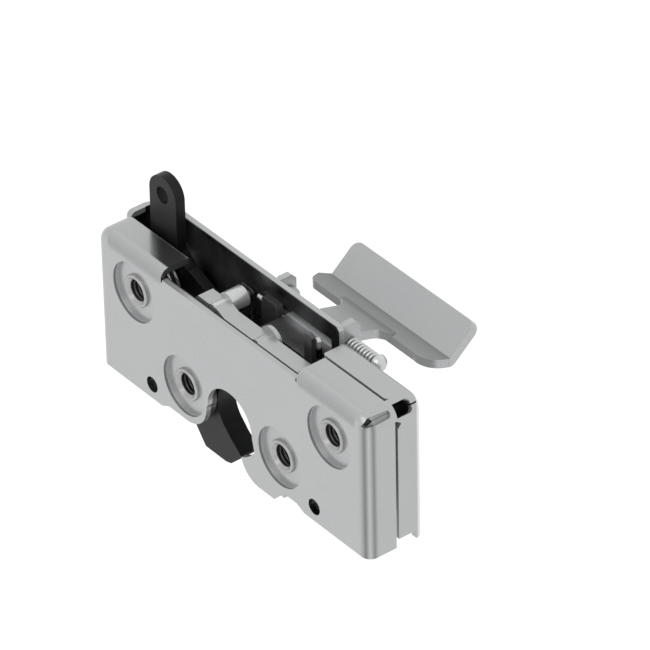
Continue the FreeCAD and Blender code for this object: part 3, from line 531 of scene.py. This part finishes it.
def shade_dent(maker, colour):
    """Painted shade: dark tip and darker floor of the dent in the front shell's upper right corner."""
    place = maker.place()
    _, y, _ = maker.axes(place)
    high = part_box("front_shell")[1]
    lean = math.radians(DENT_DEG)
    outwards = Vector((math.cos(lean), 0.0, math.sin(lean)))
    corner = Vector((high.x - CORNER_RADIUS, 0.0, high.z - CORNER_RADIUS))
    floor = outwards.dot(corner) + CORNER_RADIUS - DENT_DEPTH
    gap = maker.math("ABSOLUTE", maker.math("SUBTRACT", maker.dot(place, outwards), floor))
    near = maker.math("LESS_THAN", gap, DENT_TOLERANCE)
    mask = maker.math("MULTIPLY", near, facing(maker, outwards, DENT_COSINES))
    along = maker.map_range(y, (0.0, DENT_RUN))
    return shade_where(maker, colour, mask, band_ramp(maker, along, DENT_BANDS))


def recess_box(sleeve):
    """Box of the wall of the front plate's recess round a sleeve."""
    low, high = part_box(sleeve)
    centre = (low + high) / 2
    reach = Vector((RECESS_RADIUS, 0.0, RECESS_RADIUS))
    wall_low = centre - reach
    wall_high = centre + reach
    wall_low.y = FACE_MARGIN
    wall_high.y = RECESS_DEPTH
    return wall_low, wall_high, THIN_FADE


def shade_recess_walls(maker, colour):
    """Painted shade on the front plate's recess walls, with painted light where they look away from the camera."""
    _, y, _ = maker.axes(maker.place())
    walls = shade_mask(maker, [recess_box(sleeve) for sleeve in SLEEVE_NODES])
    upright = facing(maker, (0.0, -1.0, 0.0), WALL_COSINES)
    depth = maker.map_range(y, (0.0, RECESS_DEPTH))
    bands = band_ramp(maker, depth, WALL_BANDS)
    side = facing(maker, WALL_DARK_SIDE, WALL_SIDE_COSINES)
    factor = mix_colour(maker, side, WALL_LIGHT_SIDE, bands)
    return shade_where(maker, colour, maker.math("MULTIPLY", walls, upright), factor)


def shade_beside_crank(maker, colour):
    """Dark reflection of the crank on the top flange, from the crank to the window."""
    x, y, _ = maker.axes(maker.place())
    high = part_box("front_shell")[1]
    flange = shade_mask(maker, [(
        Vector((CRANK_SHADE_LEFT, CRANK_SHADE_FRONT, high.z - MM)),
        Vector((WINDOW_LEFT + CRANK_SHADE_PAST, high.y + FLANGE_MARGIN, high.z + CRANK_SHADE_ABOVE)),
        CRANK_SHADE_FADE,
    )])
    mask = maker.math("MULTIPLY", flange, facing(maker, (0.0, 0.0, 1.0), SQUARE_ON))
    slant = maker.math("MULTIPLY_ADD", y, CRANK_SHADE_SLANT, x)
    run = maker.map_range(slant, (CRANK_SHADE_START, CRANK_SHADE_START + CRANK_SHADE_RUN))
    return shade_where(maker, colour, mask, band_ramp(maker, run, CRANK_BANDS))


def shade_cut_end(maker, colour):
    """Painted shade on the cut end of the top flange, at the window's left end."""
    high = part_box("front_shell")[1]
    cut = shade_mask(maker, [(
        Vector((WINDOW_LEFT - MM, -MM, 0.0)),
        Vector((WINDOW_LEFT + MM, high.y + FLANGE_MARGIN, high.z + MM)),
        CUT_END_FADE,
    )])
    mask = maker.math("MULTIPLY", cut, facing(maker, (1.0, 0.0, 0.0), SQUARE_ON))
    return shade_where(maker, colour, mask, CUT_END_SHADE)


def light_rear_edge(maker, colour):
    """Painted highlight along the rear shell's end bend."""
    outwards = (math.sqrt(0.5), math.sqrt(0.5), 0.0)
    mask = facing(maker, outwards, REAR_EDGE_COSINES)
    return shade_where(maker, colour, mask, REAR_EDGE_LIGHT)


def shade_paddle_top(maker, colour):
    """Painted shade on the upper face of the paddle's neck and flat part, darker towards the grip's bend."""
    _, y, _ = maker.axes(maker.place())
    low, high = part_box("paddle")
    bend = high.y - GRIP_RUN
    start = bend - FLAT_RUN
    flat = shade_mask(maker, [(
        Vector((low.x - MM, start, low.z)),
        Vector((high.x + MM, bend, high.z)),
        THIN_FADE,
    )])
    mask = maker.math("MULTIPLY", flat, facing(maker, (0.0, 0.0, 1.0), FLAT_COSINES))
    depth = maker.map_range(y, (start, bend))
    return shade_where(maker, colour, mask, band_ramp(maker, depth, FLAT_BANDS))


def shell_inside():
    """Box of the space between the two shells, within their plates and flanges, where shade is painted."""
    low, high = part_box("front_shell")
    rear_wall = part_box("anchor_plate")[1].y
    inner_low = Vector((low.x + FLANGE_SKIN, PLATE_SKIN, -FAR))
    inner_high = Vector((high.x - FLANGE_SKIN, rear_wall + WALL_REACH, high.z - FLANGE_SKIN))
    return inner_low, inner_high, INSIDE_FADE


def upstand_inside():
    """Box of the upstand's inner face, behind the top window, where shade is painted."""
    low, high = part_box("rear_shell")
    rear_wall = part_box("anchor_plate")[1].y
    inner_low = Vector((low.x + FLANGE_SKIN, rear_wall - SHEET, 0.0))
    inner_high = Vector((UPSTAND_RIGHT, rear_wall + WALL_REACH, high.z + SHEET))
    return inner_low, inner_high, INSIDE_FADE


def below_window(drop, rear_reach=0.0, softness=WINDOW_FADE):
    """Box of the space under the top window where shade is painted, from a drop below the pawl's top."""
    low, high, _ = shell_inside()
    high.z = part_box("pawl")[1].z - drop
    high.y += rear_reach
    return low, high, softness


def mounts_called(prefix):
    return [mount for mount in frame["record"]["mounts"] if mount["name"].startswith(prefix)]


def hole_boxes(prefix, margin, end_gap, softness):
    """Boxes round the walls of the holes whose names start alike, short of their ends."""
    boxes = []
    for hole in mounts_called(prefix):
        centre = Vector(hole["pos_m"])
        reach = hole["dims"]["r_mm"] * MM + margin
        half = Vector((reach, hole["dims"]["length_mm"] * MM / 2 - end_gap, reach))
        boxes.append((centre - half, centre + half, softness))
    return boxes


def make_shell_finish():
    """Satin plate of the shells, with painted shade inside them, painted reflections on the bends and flange, and
    painted highlights.
    """
    # Painted shade in the small holes, inside the shells and on the upstand's inner face
    holes = hole_boxes("drain_hole", HOLE_MARGIN, HOLE_END_GAP, THIN_FADE)
    finish = metal_finish("satin_zinc_plate", ZINC_TONES, SHELL_ROUGH,
                          fine_scale=SHELL_FINE_SCALE, bump=SHELL_BUMP,
                          shade_boxes=[shell_inside(), upstand_inside()] + holes)
    paints = (
        paint_end_bend_reflection, paint_top_bend_reflection, shade_dent, shade_recess_walls, shade_beside_crank,
        shade_cut_end, light_rear_edge,
    )
    for paint in paints:
        repaint(finish, paint)
    return finish


def make_paddle_finish():
    """Plate of the paddle, with painted shade on its leg and on top of its flat part."""
    leg = below_window(LEG_SHADE_DROP, LEG_SHADE_REACH, LEG_SHADE_FADE)
    finish = metal_finish("zinc_plated_paddle", ZINC_TONES, SHELL_ROUGH,
                          shade_boxes=[leg], shade_tones=LEG_SHADE_TONES)
    repaint(finish, shade_paddle_top)
    return finish


def make_finishes():
    make_grain_group()
    make_edge_group()
    make_inside_group()
    bores = hole_boxes("thread", BORE_MARGIN, BORE_END_GAP, BORE_FADE)
    return {
        "shell": make_shell_finish(),
        "pawl": metal_finish("shaded_zinc_plate", ZINC_TONES, TURNED_ROUGH,
                             shade_boxes=[below_window(PAWL_SHADE_DROP)]),
        "paddle": make_paddle_finish(),
        "plated": metal_finish("bright_zinc_plate", WIRE_TONES, BRIGHT_ROUGH),
        # Turned steel, with painted shade in the sleeves' bores
        "sleeve": metal_finish("turned_sleeve_steel", SLEEVE_TONES, TURNED_ROUGH,
                               shade_boxes=bores, shade_tones=BORE_SHADE_TONES),
        "black": metal_finish("black_lacquer", BLACK_TONES, BLACK_ROUGH, metallic=0.0,
                              specular=0.2, edge_lift=0.02),
        "dark": metal_finish("dark_phosphate", DARK_TONES, DARK_ROUGH),
        "wire": metal_finish("bright_spring_wire", WIRE_TONES, BRIGHT_ROUGH),
        "shaded_wire": metal_finish("shaded_spring_wire", WIRE_TONES, BRIGHT_ROUGH,
                                    shade_boxes=[below_window(WIRE_SHADE_DROP)]),
    }


def finish_nodes(finishes):
    """Give each CAD node its finish."""
    groups = (
        (("front_shell", "rear_shell"), "shell"),
        (("pawl", "pawl_button"), "pawl"),
        (("paddle",), "paddle"),
        (PLATED_NODES, "plated"),
        (SLEEVE_NODES, "sleeve"),
        (BLACK_NODES, "black"),
        (DARK_NODES, "dark"),
        (WIRE_NODES, "wire"),
        (SHADED_WIRE_NODES, "shaded_wire"),
    )
    for names, finish in groups:
        for name in names:
            node = frame["nodes"][name]
            node.data.materials.clear()
            node.data.materials.append(finishes[finish])


def finish_piece(piece, name, material, body):
    """Put the piece's place in its mesh, smooth it, and let it ride on its body."""
    piece.name = name
    bpy.ops.object.select_all(action="DESELECT")
    piece.select_set(True)
    bpy.context.view_layer.objects.active = piece
    bpy.ops.object.transform_apply(location=True, rotation=True, scale=True)
    bpy.ops.object.shade_smooth_by_angle(angle=math.radians(SMOOTH_DEG))
    piece.data.materials.clear()
    piece.data.materials.append(material)
    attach(piece, body)
    piece.select_set(False)


def bevel_rim(piece, width):
    rim = piece.modifiers.new("rim", "BEVEL")
    rim.width = width
    rim.segments = RIM_SEGMENTS
    rim.limit_method = "ANGLE"
    bpy.ops.object.modifier_apply(modifier="rim")


def make_thread(bore):
    """Helical ridge in a bore of a given radius, modelled about the Y axis at the origin."""
    inner = bore - THREAD_CREST
    outer = bore + THREAD_ROOT
    bpy.ops.object.select_all(action="DESELECT")
    bpy.ops.mesh.primitive_plane_add(size=1.0)
    piece = bpy.context.object
    piece.location = ((inner + outer) / 2, -THREAD_PITCH * THREAD_TURNS / 2, 0.0)
    piece.scale = (outer - inner, THREAD_FOOT, 1.0)
    bpy.ops.object.transform_apply(location=True, rotation=True, scale=True)
    bpy.ops.object.mode_set(mode="EDIT")
    bpy.ops.mesh.select_all(action="DESELECT")
    bpy.ops.object.mode_set(mode="OBJECT")
    for vertex in piece.data.vertices:
        vertex.select = vertex.co.x < bore - THREAD_CREST / 2
    bpy.ops.object.mode_set(mode="EDIT")
    bpy.ops.transform.resize(value=(1.0, THREAD_TIP_SHARE, 1.0))
    bpy.ops.mesh.select_all(action="SELECT")
    bpy.ops.mesh.delete(type="ONLY_FACE")
    bpy.ops.object.mode_set(mode="OBJECT")
    helix = piece.modifiers.new("helix", "SCREW")
    helix.axis = "Y"
    helix.steps = THREAD_STEPS
    helix.render_steps = THREAD_STEPS
    helix.screw_offset = THREAD_PITCH
    helix.iterations = THREAD_TURNS
    bpy.ops.object.modifier_apply(modifier="helix")
    bpy.ops.object.mode_set(mode="EDIT")
    bpy.ops.mesh.select_all(action="SELECT")
    bpy.ops.mesh.fill_holes(sides=4)
    bpy.ops.mesh.select_all(action="SELECT")
    bpy.ops.mesh.normals_make_consistent(inside=False)
    bpy.ops.object.mode_set(mode="OBJECT")
    return piece


def make_threads(material):
    """One thread for each sleeve, copied from the first."""
    holes = mounts_called("thread")
    first = make_thread(holes[0]["dims"]["r_mm"] * MM)
    pieces = [first]
    for _ in holes[1:]:
        copy = first.copy()
        copy.data = first.data.copy()
        bpy.context.scene.collection.objects.link(copy)
        pieces.append(copy)
    for hole, piece in zip(holes, pieces):
        piece.location = hole["pos_m"]
        finish_piece(piece, hole["name"] + "_ridge", material, "housing")


def make_hole_collars(material):
    """Burred collar behind each small round hole of the front shell."""
    for hole in mounts_called("drain_hole"):
        radius = hole["dims"]["r_mm"] * MM
        x, _, z = hole["pos_m"]
        bpy.ops.object.select_all(action="DESELECT")
        bpy.ops.mesh.primitive_cylinder_add(
            vertices=COLLAR_SIDES, radius=radius + COLLAR_WALL, depth=COLLAR_REACH,
            end_fill_type="NOTHING", location=(x, SHEET + COLLAR_REACH / 2, z),
            rotation=(math.pi / 2, 0, 0))
        piece = bpy.context.object
        wall = piece.modifiers.new("wall", "SOLIDIFY")
        wall.thickness = COLLAR_WALL
        wall.offset = -1.0
        bpy.ops.object.modifier_apply(modifier="wall")
        bevel_rim(piece, COLLAR_RIM)
        finish_piece(piece, hole["name"] + "_collar", material, "housing")


def make_leg_wing(material):
    """Wing of the paddle's leg under its barrel, left of where the leg passes the wall."""
    hinge = next(joint for joint in frame["joints"] if joint["name"] == "paddle_hinge")
    y, z = hinge["pos_m"][1:]
    low = Vector((WING_LEFT, y - WING_DEPTH, z - WING_DROP - WING_THICKNESS))
    high = Vector((WING_LEFT + WING_WIDTH, y, z - WING_DROP))
    bpy.ops.object.select_all(action="DESELECT")
    bpy.ops.mesh.primitive_cube_add(size=1.0, location=(low + high) / 2)
    piece = bpy.context.object
    piece.scale = high - low
    bpy.ops.object.transform_apply(location=True, rotation=True, scale=True)
    bevel_rim(piece, WING_RIM)
    finish_piece(piece, "leg_wing", material, "inside_paddle")


def make_floor():
    bpy.ops.mesh.primitive_plane_add(size=FLOOR_SIZE, location=(0, 0, cad_low.z - FLOOR_DROP))
    floor = bpy.context.object
    floor.name = "floor"
    material = bpy.data.materials.new("pale_floor")
    material.use_nodes = True
    shader = material.node_tree.nodes["Principled BSDF"]
    shader.inputs["Base Color"].default_value = FLOOR_COLOUR
    shader.inputs["Roughness"].default_value = FLOOR_ROUGHNESS
    floor.data.materials.append(material)


def make_key_light():
    data = bpy.data.lights.new("key", "AREA")
    data.size = KEY_SIZE
    data.energy = KEY_POWER
    light = bpy.data.objects.new("key", data)
    bpy.context.scene.collection.objects.link(light)
    light.location = KEY_PLACE
    light.rotation_mode = "QUATERNION"
    light.rotation_quaternion = (KEY_AIM - KEY_PLACE).to_track_quat("-Z", "Y")


def make_studio():
    """Pale sky, brighter behind the latch than before it, and one broad soft light."""
    world = bpy.data.worlds.new("studio")
    world.use_nodes = True
    maker = NodeMaker(world.node_tree)
    direction = maker.add("ShaderNodeTexCoord").outputs["Generated"]
    _, y, _ = maker.axes(direction)
    depth = maker.map_range(y, (-SKY_SPAN, SKY_SPAN))
    sky = tone_ramp(maker, depth, (SKY_FRONT, SKY_BACK), (0.0, 1.0))
    maker.feed(world.node_tree.nodes["Background"].inputs["Color"], sky)
    bpy.context.scene.world = world
    bpy.context.scene.view_settings.view_transform = "Standard"
    make_key_light()


def make_camera():
    data = bpy.data.cameras.new("photo_camera")
    data.sensor_width = CAMERA_SENSOR
    data.lens = CAMERA_LENS
    data.clip_start = CAMERA_NEAR
    data.clip_end = CAMERA_FAR
    camera = bpy.data.objects.new("photo_camera", data)
    bpy.context.scene.collection.objects.link(camera)
    axes = Matrix((CAMERA_RIGHT, CAMERA_UP, CAMERA_BACK)).transposed()
    camera.matrix_world = Matrix.Translation(CAMERA_PLACE) @ axes.to_4x4()
    bpy.context.scene.camera = camera


def main():
    bpy.ops.object.select_all(action="DESELECT")
    finishes = make_finishes()
    finish_nodes(finishes)
    make_threads(finishes["sleeve"])
    make_hole_collars(finishes["dark"])
    make_leg_wing(finishes["dark"])
    make_floor()
    make_studio()
    make_camera()


main()
